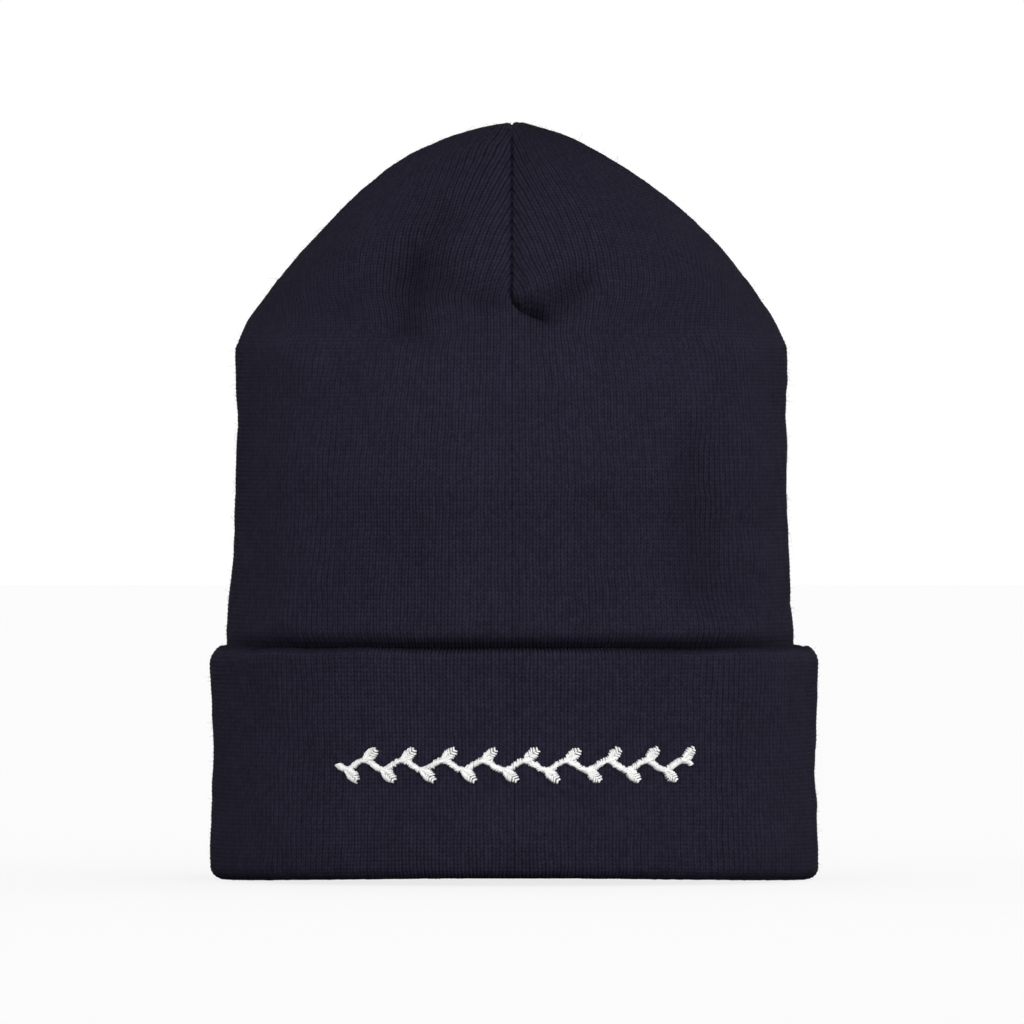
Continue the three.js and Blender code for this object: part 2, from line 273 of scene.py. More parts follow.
OVAL_ANGLES = np.linspace(0, np.pi / 2, 129)  # where a quarter of an oval is measured


def oval_rows(width, depth, squareness, shares):
    """Points and outward plan normals on a quarter of each oval, at shares of its length from the X
    axis."""
    cos, sin = np.cos(OVAL_ANGLES), np.sin(OVAL_ANGLES)
    out = np.empty((len(width), shares.shape[1], 4))
    for r, (w, d, n) in enumerate(zip(width, depth, squareness)):
        x = w * cos ** (2 / n)
        y = d * sin ** (2 / n)
        x[-1] = 0
        arc = np.concatenate([[0], np.cumsum(np.hypot(np.diff(x), np.diff(y)))])
        at = shares[r] * arc[-1]
        px, py = np.interp(at, arc, x), np.interp(at, arc, y)
        out[r, :, 0], out[r, :, 1] = px, py
        if w > 0:
            out[r, :, 2] = (px / w) ** (n - 1) / w
            out[r, :, 3] = (py / d) ** (n - 1) / d
    return out


def quarter_length(width, depth, squareness):
    x = width[:, None] * np.cos(OVAL_ANGLES) ** (2 / squareness[:, None])
    y = depth[:, None] * np.sin(OVAL_ANGLES) ** (2 / squareness[:, None])
    return np.hypot(np.diff(x), np.diff(y)).sum(1)


def wale_lengths(share, length, run):
    """Length of every wale up to each row. A wale that leans towards a dart is longer than a straight
    one."""
    lean = np.gradient(np.clip(share, -0.5, 1.5), run, axis=0) * length[:, None]
    rate = np.sqrt(1 + np.clip(lean, -1.2, 1.2) ** 2)
    steps = (rate[1:] + rate[:-1]) / 2 * np.diff(run)[:, None]
    return run[0] + np.vstack([np.zeros((1, share.shape[1])), np.cumsum(steps, axis=0)])


def share_cut_ends(share):
    """Vertex indices, in which the wales that a dart has taken all share the vertex on its seam."""
    rows, columns = share.shape
    index = np.arange(rows * columns).reshape(rows, columns)
    left, right = share <= 0, share >= 1
    first = np.argmax(~left, axis=1) - 1
    last = columns - np.argmax(~right[:, ::-1], axis=1)
    for r in range(rows):
        if first[r] > 0:
            index[r, : first[r]] = index[r, first[r]]
        if last[r] < columns - 1:
            index[r, last[r] + 1 :] = index[r, last[r]]
    return index


class Sheet:
    """A quarter of a knitted sheet: rows of points up the hat, with normals and knit coordinates."""

    def __init__(self, z, width, depth, squareness, per_wale, run, cut=None, slope=None):
        """run is the length of cloth up to each row. cut is how many wales the darts have taken at each
        row, as (at the X axis, at the Y axis, how far the Y axis dart draws the wales to it). slope is
        the sheet's normal where it doesn't follow from the heights, as (outward, up) at each row."""
        count = WALES * per_wale
        cell = np.arange(count + 1) / per_wale
        side_cut, face_cut, gather = cut if cut else (np.zeros(len(z)),) * 3
        self.length = quarter_length(width, depth, squareness)
        share = (cell[None] - side_cut[:, None]) / np.maximum(WALES - side_cut - face_cut, 1e-3)[:, None]
        to_face = (1 - share) * self.length[:, None]
        pulled = to_face - gather[:, None] * np.exp(-np.maximum(to_face, 0) / GATHER_REACH)
        share = 1 - pulled / np.maximum(self.length, 1e-6)[:, None]
        self.course = wale_lengths(share, self.length, run) / COURSE
        share = clip01(share)
        ovals = oval_rows(width, depth, squareness, share)
        self.points = np.dstack([ovals[..., 0], ovals[..., 1], np.repeat(z[:, None], count + 1, 1)])
        if slope is None:
            dw, dd = np.gradient(width, z), np.gradient(depth, z)
            w, d = np.maximum(width, 1e-3)[:, None], np.maximum(depth, 1e-3)[:, None]
            n = squareness[:, None]
            x, y = self.points[..., 0] / w, self.points[..., 1] / d
            up = -(x**n * (dw[:, None] / w) + y**n * (dd[:, None] / d))
            normals = np.dstack([ovals[..., 2], ovals[..., 3], up])
            normals[width <= 1e-3] = (0, 0, 1)
        else:
            outward, up = slope
            plan_normals = ovals[..., 2:] / np.hypot(ovals[..., 2], ovals[..., 3])[..., None]
            up = np.repeat(up[:, None], count + 1, 1)
            normals = np.dstack([plan_normals * outward[:, None, None], up])
        self.normals = normals / np.maximum(np.linalg.norm(normals, axis=-1, keepdims=True), 1e-12)
        self.closed = smooth((np.abs(self.normals[..., 0]) - 0.45) / 0.35)  # the ribs close up at the sides
        self.cell = np.repeat(cell[None], len(z), 0)
        self.to_side = share * self.length[:, None]  # along the row to the seam line on the X axis
        self.to_face = (1 - share) * self.length[:, None]  # and to the one on the Y axis
        self.index = share_cut_ends(share)

    def quarter(self, signs):
        """Points and normals of this quarter when it is mirrored to its place."""
        mirror = np.array([signs[0], signs[1], 1.0])
        return self.points * mirror, self.normals * mirror

    def pieces(self, name, material, shape):
        """One piece for each quarter. shape(points, normals, sheet, quarter) gives the finished points
        and how much painted shade each one gets for the crease it lies in."""
        made = []
        rows, columns = self.index.shape
        used, compact = np.unique(self.index, return_inverse=True)
        index = compact.reshape(rows, columns)
        v = np.repeat(np.linspace(0.002, 0.998, rows)[:, None], columns, 1)
        u = np.repeat(np.linspace(0.002, 0.998, columns)[None], rows, 0)
        uv = np.dstack([u, v]).reshape(-1, 2)[used]
        knit = np.dstack([self.cell, self.course]).reshape(-1, 2)[used]
        # Painted shade in the gaps between ribs, where they close up at the sides.
        between_ribs = PAINTED_SHADE_BETWEEN_RIBS * self.closed * np.abs(2 * (self.cell % 1) - 1) ** 8
        for number, (quarter, signs) in enumerate(QUARTERS.items()):
            points, normals = self.quarter(signs)
            finished, painted_shade = shape(points, normals, self, signs)
            finished = finished.reshape(-1, 3)[used]
            painted_shade = clip01(painted_shade + between_ribs).ravel()[used]
            faces = grid_faces(index, signs[0] * signs[1] < 0)
            knit_here = knit + np.array([number * WALES, 0])
            made.append(make_piece(f"{name}_{quarter}", finished, faces, material, uv, knit_here, painted_shade))
        return made


def stitches(sheet, kind, signs):
    """How far the knit's relief lies below its crests, with small differences from stitch to stitch."""
    depth, seed = kind
    r = np.random.default_rng(seed + signs[0] + 3 * signs[1])
    tight = 0.78 + 0.44 * r.random((int(sheet.course.max()) + 3, WALES + 1))
    wale_depth = 0.92 + 0.16 * r.random(WALES + 1)
    wale = np.clip(np.floor(sheet.cell).astype(int), 0, WALES)
    row = np.floor(sheet.course - sheet.course.min()).astype(int)
    tightness = tight[np.clip(row, 0, tight.shape[0] - 1), wale]
    relief = stitch_relief(sheet.cell, sheet.course, tightness, sheet.closed) * wale_depth[wale]
    return depth * (1.0 - relief)


# ---- Folds and puckers of the cloth ----

# Soft folds on the front and back of the body: x and z of both ends, width, and depth inwards.
FRONT_FOLDS = [
    (-22, 192, -30, 178, 7.0, 2.2),
    (-30, 180, -31, 163, 6.5, 3.0),
    (-7, 170, -20, 176, 4.5, 2.6),
    (10, 166, 21, 176, 4.2, 3.8),
    (54, 122, 57, 86, 9, 2.6),
    (28, 104, 24, 84, 11, 1.0),
    (-34, 100, -30, 78, 11, 1.0),
]
BACK_FOLDS = [
    (24, 192, 33, 178, 7.0, 2.2),
    (33, 180, 34, 163, 6.5, 2.8),
    (7, 170, 20, 177, 4.5, 2.6),
    (-10, 166, -22, 176, 4.2, 3.6),
    (-51, 124, -58, 86, 9, 2.4),
    (66, 126, 70, 92, 7, 1.2),
    (-20, 106, -24, 84, 11, 1.0),
]


PUCKER_DEPTH = 3.6
BULGE_HEIGHT = 1.9  # of the cloth above a pucker
SIDE_PUCKER_SHARE = 0.25  # the side darts pucker less
GROOVE_DEPTH = 1.7
GROOVE_WIDTH = 0.5
SIDE_GROOVE_SHARE = 0.8
OVERLAP_DEPTH = 1.1
TUCK_DEPTH = 2.9  # of the body where it goes into the cuff
TUCK_REACH = 3.0
SEWN_WIDTH = 0.6  # of the line along a seam that has no stitches

# Painted shade: how much the knit's material darkens the yarn in each kind of crease, standing in for the
# light that doesn't reach it.
PAINTED_SHADE_IN_FOLDS = 0.06  # for each mm of depth
PAINTED_SHADE_IN_PUCKER = 0.55
PAINTED_SHADE_IN_SIDE_PUCKER = 0.2
PAINTED_SHADE_IN_SEAM = 0.55
PAINTED_SHADE_ABOVE_CUFF = 0.75
PAINTED_SHADE_ON_CUFF_EDGE = 0.35
PAINTED_SHADE_NEAR_BRIM = 0.14
PAINTED_SHADE_BETWEEN_RIBS = 0.4


def fold_depth(points, signs):
    """Depth of the folds, which both plies follow."""
    x, y, z = points[..., 0], points[..., 1], points[..., 2]
    total = np.zeros(x.shape)
    folds = FRONT_FOLDS if signs[1] < 0 else BACK_FOLDS
    for x1, z1, x2, z2, width, depth in folds:
        along = np.array([x2 - x1, z2 - z1])
        t = ((x - x1) * along[0] + (z - z1) * along[1]) / (along @ along)
        gap = np.hypot(x - x1 - clip01(t) * along[0], z - z1 - clip01(t) * along[1])
        total += depth * np.exp(-((gap / width) ** 2))
    return total * smooth(np.abs(y) / 40.0)


def dart_side(signs):
    """1 for the quarters in which the cloth overlaps and puckers at the front or back dart, otherwise
    -1."""
    return -signs[0] * signs[1]


def pucker(aside, z, dart):
    """Depth of the crescent-shaped tuck at the lower end of a dart, with the bulge above it, and how
    far into the tuck each point is. aside is along the row."""
    curve = dart - 2.9 + 3.9 * np.exp(-np.maximum(aside, -1.0) / 2.4)
    reach = smooth((aside + 1.5) / 1.5) * (1 - smooth((aside - 6.0) / 7.0))
    above = z - curve
    tuck = np.exp(-((above / np.where(above > 0, 2.6, 1.3)) ** 2)) * reach
    bulge = BULGE_HEIGHT * np.exp(-(((above - 7.0) / 4.4) ** 2)) * np.exp(-(((aside - 8.0) / 7.0) ** 2))
    return PUCKER_DEPTH * tuck - bulge * smooth(aside / 5.0), tuck


def seam_groove(gap, z, dart, ripple):
    """A narrow crease where two cut edges meet, in a shallow valley with a soft ridge on each side."""
    begun = smooth((z - dart + 2.0) / 7.0)
    valley = 0.6 * ripple * np.exp(-((gap / 2.4) ** 2)) - 0.4 * np.exp(-(((gap - 6.0) / 3.2) ** 2))
    at_top = smooth((z - HEIGHT + 13) / 10)
    crease = GROOVE_DEPTH * np.exp(-((gap / GROOVE_WIDTH) ** 2))
    return begun * (crease * (1 - 0.55 * at_top) + valley * (1 - 0.8 * at_top))


def overlap(aside, z, dart):
    """One edge of the dart lies a little over the other, most at its lower end."""
    begun = smooth((z - dart) / 5.0) * (0.35 + 0.65 * np.exp(-((z - dart) / 18.0)))
    under = OVERLAP_DEPTH * (1 - np.exp(-((aside / 0.6) ** 2))) * np.exp(-((aside / 3.4) ** 2))
    return begun * np.where(aside > 0, under, -0.45 * under)


def drape(points, sheet, signs):
    """How far the cloth lies in from the CAD surface, by folds, dart grooves, puckers and unevenness,
    and how much painted shade it gets in its creases and tucks."""
    x, z = points[..., 0], points[..., 2]
    aside = sheet.to_face * dart_side(signs)
    folds = fold_depth(points, signs)
    inward = folds + 0.4 * waves(points, BODY_SWELL) + 0.12 * waves(points, BODY_RIPPLE)
    ripple = 1 + 0.2 * np.clip(waves(points, SEAM_RIPPLE), -1.5, 1.5)
    inward += seam_groove(sheet.to_face, z, DART_HEIGHT, ripple)
    inward += seam_groove(sheet.to_side, z, SIDE_DART_HEIGHT, ripple) * SIDE_GROOVE_SHARE
    face_pucker, face_tuck = pucker(aside, z, DART_HEIGHT)
    side_pucker, side_tuck = pucker(-sheet.to_side * dart_side(signs), z, SIDE_DART_HEIGHT)
    inward += face_pucker + SIDE_PUCKER_SHARE * side_pucker + overlap(aside, z, DART_HEIGHT)
    over_cuff = 1 - 0.8 * clip01(np.abs(x) / 82.0) ** 6
    above_cuff = np.maximum(z - CUFF_HEIGHT, 0)
    inward += TUCK_DEPTH * over_cuff * np.exp(-((above_cuff / TUCK_REACH) ** 2))
    off_seam = np.minimum(
        smooth((sheet.to_face - 1.9) / 1.5) + smooth((DART_HEIGHT + 0.5 - z) / 1.5),
        smooth((sheet.to_side - 1.9) / 1.5) + smooth((SIDE_DART_HEIGHT + 0.5 - z) / 1.5),
    )
    inward = np.minimum(inward, SEAM_ROOM + 0.4 * sewn_line(sheet, z, SEWN_WIDTH) + 5.0 * off_seam)
    # Painted shade in the folds, the puckers' tucks, along the sewn lines and in the tuck above the cuff.
    painted_shade = PAINTED_SHADE_IN_FOLDS * folds + PAINTED_SHADE_IN_PUCKER * face_tuck + PAINTED_SHADE_IN_SIDE_PUCKER * side_tuck
    painted_shade += PAINTED_SHADE_IN_SEAM * sewn_line(sheet, z, 0.4)
    painted_shade += PAINTED_SHADE_ABOVE_CUFF * over_cuff * np.exp(-((above_cuff / 2.6) ** 2))
    return inward, painted_shade


def sewn_line(sheet, z, width):
    """1 on the lines where the darts are sewn up, falling to 0 a little way to each side."""
    return np.maximum(
        np.exp(-((sheet.to_face / width) ** 2)) * smooth((z - DART_HEIGHT) / 3.0),
        np.exp(-((sheet.to_side / width) ** 2)) * smooth((z - SIDE_DART_HEIGHT) / 3.0),
    )


def wander(points, kind, width):
    """How far the wales wander sideways, but not at the front and back seam lines."""
    return width * waves(points, kind) * smooth(np.abs(points[..., 0]) / 3)


def lean(points):
    """The crown's halves lean a little to one side of the dart, the body is fuller on that side above
    the cuff, and no wale runs quite straight."""
    x, z = points[..., 0], points[..., 2]
    aside = -2.2 * smooth((z - 190) / 28) * smooth(np.abs(x) / 12)
    aside -= 1.0 * np.exp(-(((z - 78) / 22) ** 2)) * smooth(-x / 60)
    return aside + wander(points, BODY_WANDER, 0.17)


def shape_body(points, normals, sheet, signs):
    """The outer ply, which lies straight where the cuff covers it."""
    z = points[..., 2]
    inward, painted_shade = drape(points, sheet, signs)
    covered = smooth((CUFF_HEIGHT - 4.0 - z) / 6.0)
    inward = inward * (1 - covered) + covered * 0.1
    relief = stitches(sheet, BODY_STITCHES, signs) * (1 - sewn_line(sheet, z, SEWN_WIDTH))
    moved = points - normals * (inward + relief)[..., None]
    moved[..., 0] += lean(points) * (1 - covered)
    return moved, painted_shade * (1 - covered)


def body_rows(side, top, step):
    """Heights of a bowl's rows of points, from the brim's fold to the crown, one step of cloth apart."""
    apex = HEIGHT + top
    start = HEIGHT - SIDE_DOME[0]
    straight = np.linspace(FOLD_END, start, 400)[:-1]
    dome = start + (apex - start) * np.sin(np.linspace(0, np.pi / 2, 1600))
    z = np.concatenate([straight, dome])
    width, depth, _ = plan(z, side, top)
    cloth = np.sqrt(np.diff(z) ** 2 + (np.diff(width) ** 2 + np.diff(depth) ** 2) / 2)
    run = np.concatenate([[0], np.cumsum(cloth)])
    rows = np.linspace(0, run[-1], int(run[-1] / step) + 1)
    return np.interp(rows, run, z), rows


def wales_cut(z, length):
    """How many wales the darts have taken at each height, at the X axis and at the Y axis, and how far
    the Y axis dart draws the wales to it."""
    up = clip01((z - DART_HEIGHT) / (z[-1] - DART_HEIGHT))
    eased = up - 0.1 * (1 - np.exp(-up / 0.1))
    wide = length / length[0]
    start = np.interp(SIDE_DART_HEIGHT, z, wide)
    spacing = start + (CROWN_SPACING - start) * smooth((z - SIDE_DART_HEIGHT) / 34.0)
    left = np.where(z < SIDE_DART_HEIGHT, WALES, np.minimum(WALES * wide / spacing, WALES))
    face_cut = FACE_CUT * eased / eased[-1]
    side_cut = np.maximum(WALES - left - face_cut, 0)
    gather = GATHER * smooth((z - DART_HEIGHT) / 12.0) * (1 - up) ** 1.5
    return side_cut, face_cut, gather


def knit_bowl(name, material, side, top, per_wale, rows_per_course, shape):
    """The body or its lining, from the brim's fold to the top of the crown."""
    z, run = body_rows(side, top, COURSE / rows_per_course)
    width, depth, squareness = plan(z, side, top)
    length = quarter_length(width, depth, squareness)
    sheet = Sheet(z, width, depth, squareness, per_wale, run, cut=wales_cut(z, length))
    return sheet.pieces(name, material, shape)


def shape_lining(points, normals, sheet, signs):
    """The lining is seen from inside, so its crests point inwards. It follows the outer ply's folds and
    tucks."""
    z = points[..., 2]
    uneven = (1 + waves(points, LINING_SWELL)) * smooth((z - 60) / 10)
    inward = 0.85 * fold_depth(points, signs) + 0.3 * uneven
    in_dart = smooth((z - DART_HEIGHT) / 7.0)
    _, tuck = pucker(sheet.to_face * dart_side(signs), z, DART_HEIGHT)
    inward += 1.8 * tuck
    gap = np.minimum(sheet.to_side, sheet.to_face)
    ridge = in_dart * 0.9 * np.exp(-((gap / 1.4) ** 2))
    relief = stitches(sheet, LINING_STITCHES, signs)
    return points - normals * (inward + ridge - relief)[..., None], 0.0


def reserve_rows(step):
    """Rest heights of rows that lie a step apart once the crown has moved up by TRAVEL."""
    z = np.linspace(FOLD_START, FOLD_END, 4000)
    moved = z + TRAVEL * smooth((z - FOLD_START) / (FOLD_END - FOLD_START))
    count = int((moved[-1] - moved[0]) / step)
    return np.interp(np.linspace(moved[0], moved[-1], count + 1), moved, z)


def knit_reserve(name, material, offset, direction, per_wale, rows_per_course):
    """The tube of knit tucked inside the brim, which comes out as the cuff is rolled down. offset(z) is
    how far out from the body's face it lies, and its crests point out or in with direction."""
    z = reserve_rows(COURSE / rows_per_course)
    width, depth, squareness = plan(z)
    outward = offset(z)
    run = COURSE / rows_per_course * np.arange(len(z))
    slope = (np.full(len(z), float(direction)), np.zeros(len(z)))
    sheet = Sheet(z, width + outward, depth + outward, squareness, per_wale, run - run[-1], slope=slope)

    def shape(points, normals, sheet, signs):
        return points - normals * stitches(sheet, RESERVE_STITCHES, signs)[..., None], 0.0

    return sheet.pieces(name, material, shape)


# ---- The cuff ----

BEHIND_EDGE = 5.0  # how far down behind the free edge the cuff's sheet goes on
WAIST = 0.95  # how far the cuff is drawn in at mid height
BOW = 2.0  # how far the brim rises at the front and back
CORNER = 1.5  # how far the free edge turns in at its left and right end


def cuff_path(step):
    """The cuff's face in section, as (out from the body, height, outward slope, upward slope), from the
    brim's inside, under the brim, up the face, over the free edge and a little way down behind it."""
    t = np.linspace(0, 1, 200)[:, None]

    def line(start, end, facing):
        start, end = np.array(start), np.array(end)
        return np.hstack([start + (end - start) * t, np.repeat([facing], len(t), 0)])

    def arc(centre, radius, start, end):
        angle = start + (end - start) * t
        facing = np.hstack([np.cos(angle), np.sin(angle)])
        return np.hstack([centre + radius * facing, facing])

    inner = LINING_FACE + FOLD_RADIUS
    outer = CUFF_FACE - FOLD_RADIUS
    edge = CUFF_HEIGHT - EDGE_RADIUS
    path = np.vstack(
        [
            line((LINING_FACE, FOLD_END), (LINING_FACE, FOLD_RADIUS), (-1, 0)),
            arc((inner, FOLD_RADIUS), FOLD_RADIUS, np.pi, 1.5 * np.pi),
            line((inner, 0), (outer, 0), (0, -1)),
            arc((outer, FOLD_RADIUS), FOLD_RADIUS, 1.5 * np.pi, 2 * np.pi),
            line((CUFF_FACE, FOLD_RADIUS), (CUFF_FACE, edge), (1, 0)),
            arc((EDGE_MIDDLE, edge), EDGE_RADIUS, 0, np.pi),
            line((CUFF_GAP, edge), (CUFF_GAP, edge - BEHIND_EDGE), (-1, 0)),
        ]
    )
    run = np.concatenate([[0], np.cumsum(np.hypot(*np.diff(path[:, :2], axis=0).T))])
    count = int(run[-1] / step)
    at = np.linspace(0, run[-1], count + 1)
    return np.column_stack([np.interp(at, run, path[:, i]) for i in range(4)])


def cuff_sway(points, normals):
    """The cuff is slightly drawn in at mid height, rounder at the left and right end of its free edge,
    bowed up at the front and back of the brim, and uneven."""
    x, z = points[..., 0], points[..., 2]
    height = clip01(z / CUFF_HEIGHT)
    drawn_in = WAIST * np.sin(np.pi * height) ** 1.3
    uneven = 0.22 * waves(points, CUFF_SWELL) + 0.10 * waves(points, CUFF_RIPPLE)
    edge_wave = 0.25 * waves(points, CUFF_EDGE_WAVE) * smooth((z - CUFF_HEIGHT + 14) / 10)
    bow = BOW * np.cos(np.pi / 2 * clip01(np.abs(x) / 84.0)) ** 0.8 * (1 - smooth(z / 34.0))
    moved = points.copy()
    outer = clip01(normals[..., 0] ** 2 + normals[..., 1] ** 2)
    facing_out = (points[..., 0] * normals[..., 0] + points[..., 1] * normals[..., 1]) > 0
    inward = (drawn_in + uneven) * outer * facing_out
    moved -= normals * inward[..., None]
    moved[..., 2] += bow + edge_wave
    outermost = (1 + np.where(facing_out, 1, -1) * np.sqrt(outer)) / 2
    at_ends = smooth((np.abs(x) - 64) / 20)
    rounded = CORNER * smooth((z - CUFF_HEIGHT + 5) / 5) * outermost * at_ends
    moved[..., 0] -= np.sign(x) * rounded
    moved[..., 0] += 0.7 + wander(points, CUFF_WANDER, 0.15)
    return moved


def shape_cuff(points, normals, sheet, signs):
    relief = stitches(sheet, CUFF_STITCHES, signs)
    z = points[..., 2]
    # Painted shade on the cuff's rounded top edge and near the brim.
    painted_shade = PAINTED_SHADE_ON_CUFF_EDGE * smooth((z - CUFF_HEIGHT + 1.7) / 1.5)
    painted_shade += PAINTED_SHADE_NEAR_BRIM * (1 - smooth(z / 16.0))
    return cuff_sway(points, normals) - normals * relief[..., None], painted_shade


def knit_cuff(material, per_wale, rows_per_course):
    path = cuff_path(COURSE / rows_per_course)
    offset, z = path[:, 0], path[:, 1]
    width, depth, squareness = plan(np.zeros(len(z)))
    run = COURSE / rows_per_course * np.arange(len(z))
    slope = (path[:, 2], path[:, 3])
    sheet = Sheet(z, width + offset, depth + offset, squareness, per_wale, run, slope=slope)
    return sheet.pieces("cuff_band", material, shape_cuff)


def on_cuff(along, height, out):
    """Points on the front of the cuff and its normals there: along it from the middle, up from the
    brim, and out from the crests of its stitches."""
    width, depth, squareness = plan(np.zeros(1))
    width, depth = width + CUFF_FACE, depth + CUFF_FACE
    side = np.where(along.ravel() < 0, -1.0, 1.0)
    share = 1 - np.abs(along).reshape(1, -1) / quarter_length(width, depth, squareness)
    oval = oval_rows(width, depth, squareness, share)[0]
    normals = np.column_stack([oval[:, 2] * side, -oval[:, 3], np.zeros(len(oval))])
    normals /= np.linalg.norm(normals, axis=1, keepdims=True)
    points = np.column_stack([oval[:, 0] * side, -oval[:, 1], height.ravel()])
    points = cuff_sway(points, normals) + normals * out.reshape(-1, 1)
    return points.reshape(*along.shape, 3), normals.reshape(*along.shape, 3)


def plain_ring(name, offsets, heights, material, columns=360):
    """A thin closed band round the hat between two offsets and two heights."""
    (inner, outer), (low, high) = offsets, heights
    corners = [(inner, low), (outer, low), (outer, high), (inner, high)]
    angle = np.linspace(0, 2 * np.pi, columns, endpoint=False)
    width, depth, n = (float(v[0]) for v in plan(np.zeros(1)))
    cos, sin = np.cos(angle), np.sin(angle)
    bx, by = np.sign(cos) * np.abs(cos) ** (2 / n), np.sign(sin) * np.abs(sin) ** (2 / n)
    points = np.array([[(width + o) * bx, (depth + o) * by, np.full(columns, h)] for o, h in corners])
    points = points.transpose(0, 2, 1).reshape(-1, 3)
    index = np.arange(4 * columns).reshape(4, columns)
    index = np.hstack([index, index[:, :1]])
    index = np.vstack([index, index[:1]])
    return make_piece(name, points, grid_faces(index, False), material)


# ---- Embroidery: a running vine in satin stitch ----

VINE_LENGTH = 108.0
VINE_HEIGHT = 34.5  # above the brim
VINE_WAVES = 9
WAVE_HEIGHT = 1.35
STEM_WIDTH = 1.5
LEAF_LENGTH = 5.6
LEAF_HALF_WIDTH = 1.5
LEAF_LEAN = 0.7  # from the middle line, in radians
LEAF_BASE = -0.6  # a leaf starts this far back over the stem
THREAD_RADIUS = 0.3
THREAD_SIDES = 6
THREAD_SPACING = 0.66
SLANT = np.radians(54)  # of the threads across the stem and the leaves
THREAD_STEPS = np.linspace(-1, 1, 7)
THREAD_DIP = -0.25  # where a thread's ends go into the knit, out from its crests
END_JITTER = 0.13  # how uneven the threads' ends are
SHIFT = 0.03  # how far a thread strays along the cloth
RISE = 0.02  # and off it
STEM_ARCH = 0.85  # how high the threads arch over the padding
LEAF_ARCH = 1.0


def vine_wave(x):
    angle = 2 * np.pi * VINE_WAVES * x / VINE_LENGTH
    slope = WAVE_HEIGHT * 2 * np.pi * VINE_WAVES / VINE_LENGTH * np.cos(angle)
    return WAVE_HEIGHT * np.sin(angle), slope


def lay_threads(starts, ends, arch):
    """Threads over the cuff between flat points (along, up): each dips into the knit at both ends, a
    little short of its neighbours or past them."""
    t = (THREAD_STEPS + 1) / 2
    along = (ends - starts) / np.linalg.norm(ends - starts, axis=1, keepdims=True)
    past = along * rng.normal(0, END_JITTER, (len(ends), 1))
    starts, ends = starts - past, ends + past
    flat = starts[:, None] + (ends - starts)[:, None] * t[:, None]
    lift = THREAD_DIP + arch * (1 - THREAD_STEPS**4) ** 0.5
    flat = flat + rng.normal(0, SHIFT, (len(flat), 1, 2))
    out = np.repeat(lift[None], len(flat), 0) + rng.normal(0, RISE, (len(flat), 1))
    points, _ = on_cuff(flat[..., 0], VINE_HEIGHT + flat[..., 1], out)
    return points


def stem_threads(first, last):
    fine = np.linspace(first, last, 400)
    run = np.concatenate([[0], np.cumsum(np.hypot(np.diff(fine), np.diff(vine_wave(fine)[0])))])
    x = np.interp(np.arange(0, run[-1], THREAD_SPACING), run, fine)
    up, slope = vine_wave(x)
    angle = np.arctan(slope) + SLANT
    half = STEM_WIDTH / 2 / np.sin(SLANT)
    reach = half * np.column_stack([np.cos(angle), np.sin(angle)])
    middle = np.column_stack([x, up])
    return lay_threads(middle - reach, middle + reach, STEM_ARCH)


def leaf_threads(x, side):
    """Two rows of threads, from the leaf's middle line out to each edge, slanting towards its tip."""
    t = np.linspace(0, 1, 200)
    outline_along = (1 - t) ** 2 * LEAF_BASE + t * (1 - t) * LEAF_LENGTH + t**2 * LEAF_LENGTH
    outline_out = 4 * t * (1 - t) * LEAF_HALF_WIDTH
    edge = np.arange(LEAF_BASE + 0.2, LEAF_LENGTH - 0.1, THREAD_SPACING)
    out = np.interp(edge, outline_along, outline_out)
    root = np.maximum(edge - out / np.tan(SLANT), LEAF_BASE)
    cos, sin = np.cos(LEAF_LEAN), side * np.sin(LEAF_LEAN)
    turn = np.array([[cos, sin], [-sin, cos]])
    base = np.array([x, vine_wave(x)[0]])
    made = []
    for half in (-1, 1):
        starts = np.column_stack([root, np.full(len(root), -0.12 * half)])
        ends = np.column_stack([edge, half * out])
        made.append(lay_threads(base + starts @ turn, base + ends @ turn, LEAF_ARCH))
    return np.concatenate(made)


def embroider(material):
    """The vine in one piece for each wave, so that each can sink straight into the cloth as the cuff
    rolls down. Gives the pieces and how far along the cuff each one is."""
    pieces = []
    wave = VINE_LENGTH / VINE_WAVES
    for i in range(VINE_WAVES):
        first = -VINE_LENGTH / 2 + i * wave
        parts = [stem_threads(first, first + wave)]
        for k in (0.25, 0.75):
            x = first + k * wave
            parts.append(leaf_threads(x, np.sign(vine_wave(x)[0])))
        paths = np.concatenate(parts)
        radius = THREAD_RADIUS * rng.uniform(0.92, 1.08, (len(paths), 1))
        piece = tubes(f"embroidery_{i + 1:02d}", paths, radius, THREAD_SIDES, material)
        pieces.append((piece, first + wave / 2))
    return pieces


def backing(material):
    """The thin felt sheet behind the embroidery, between the cuff's two plies."""
    low, high = box_mm("embroidery_backing")
    half_length, thickness = 62.0, 0.35
    middle_gap = CUFF_FACE - 2.8
    x, z = np.linspace(-half_length, half_length, 125), np.linspace(low[2], high[2], 31)
    x, z = np.meshgrid(x, z)
    sheets = []
    for out in (middle_gap + thickness / 2, middle_gap - thickness / 2):
        ragged = 0.06 * rng.normal(size=x.shape)
        points, _ = on_cuff(x, z, ragged + out - CUFF_FACE)
        sheets.append(points)
    rows, columns = x.shape
    front = np.arange(rows * columns).reshape(rows, columns)
    back = front + rows * columns
    rim = np.concatenate([front[0], front[1:, -1], front[-1, -2::-1], front[-2:0:-1, 0]])
    behind = rim + rows * columns
    edge = np.stack([rim, behind, np.roll(behind, -1), np.roll(rim, -1)], -1)
    faces = [*grid_faces(front, False), *grid_faces(back, True), edge]
    faces = [f for f in faces if len(f)]
    return make_piece("backing_sheet", np.concatenate(sheets).reshape(-1, 3), faces, material)


# ---- Loose fibres ----

FIBRES = 9600  # in each piece of fuzz
FIBRE_RADIUS = 0.03
FIBRE_SIDES = 3
FIBRE_POINTS = 4
FIBRE_LENGTH = (3.0, 0.3)  # shape and scale of the spread of lengths


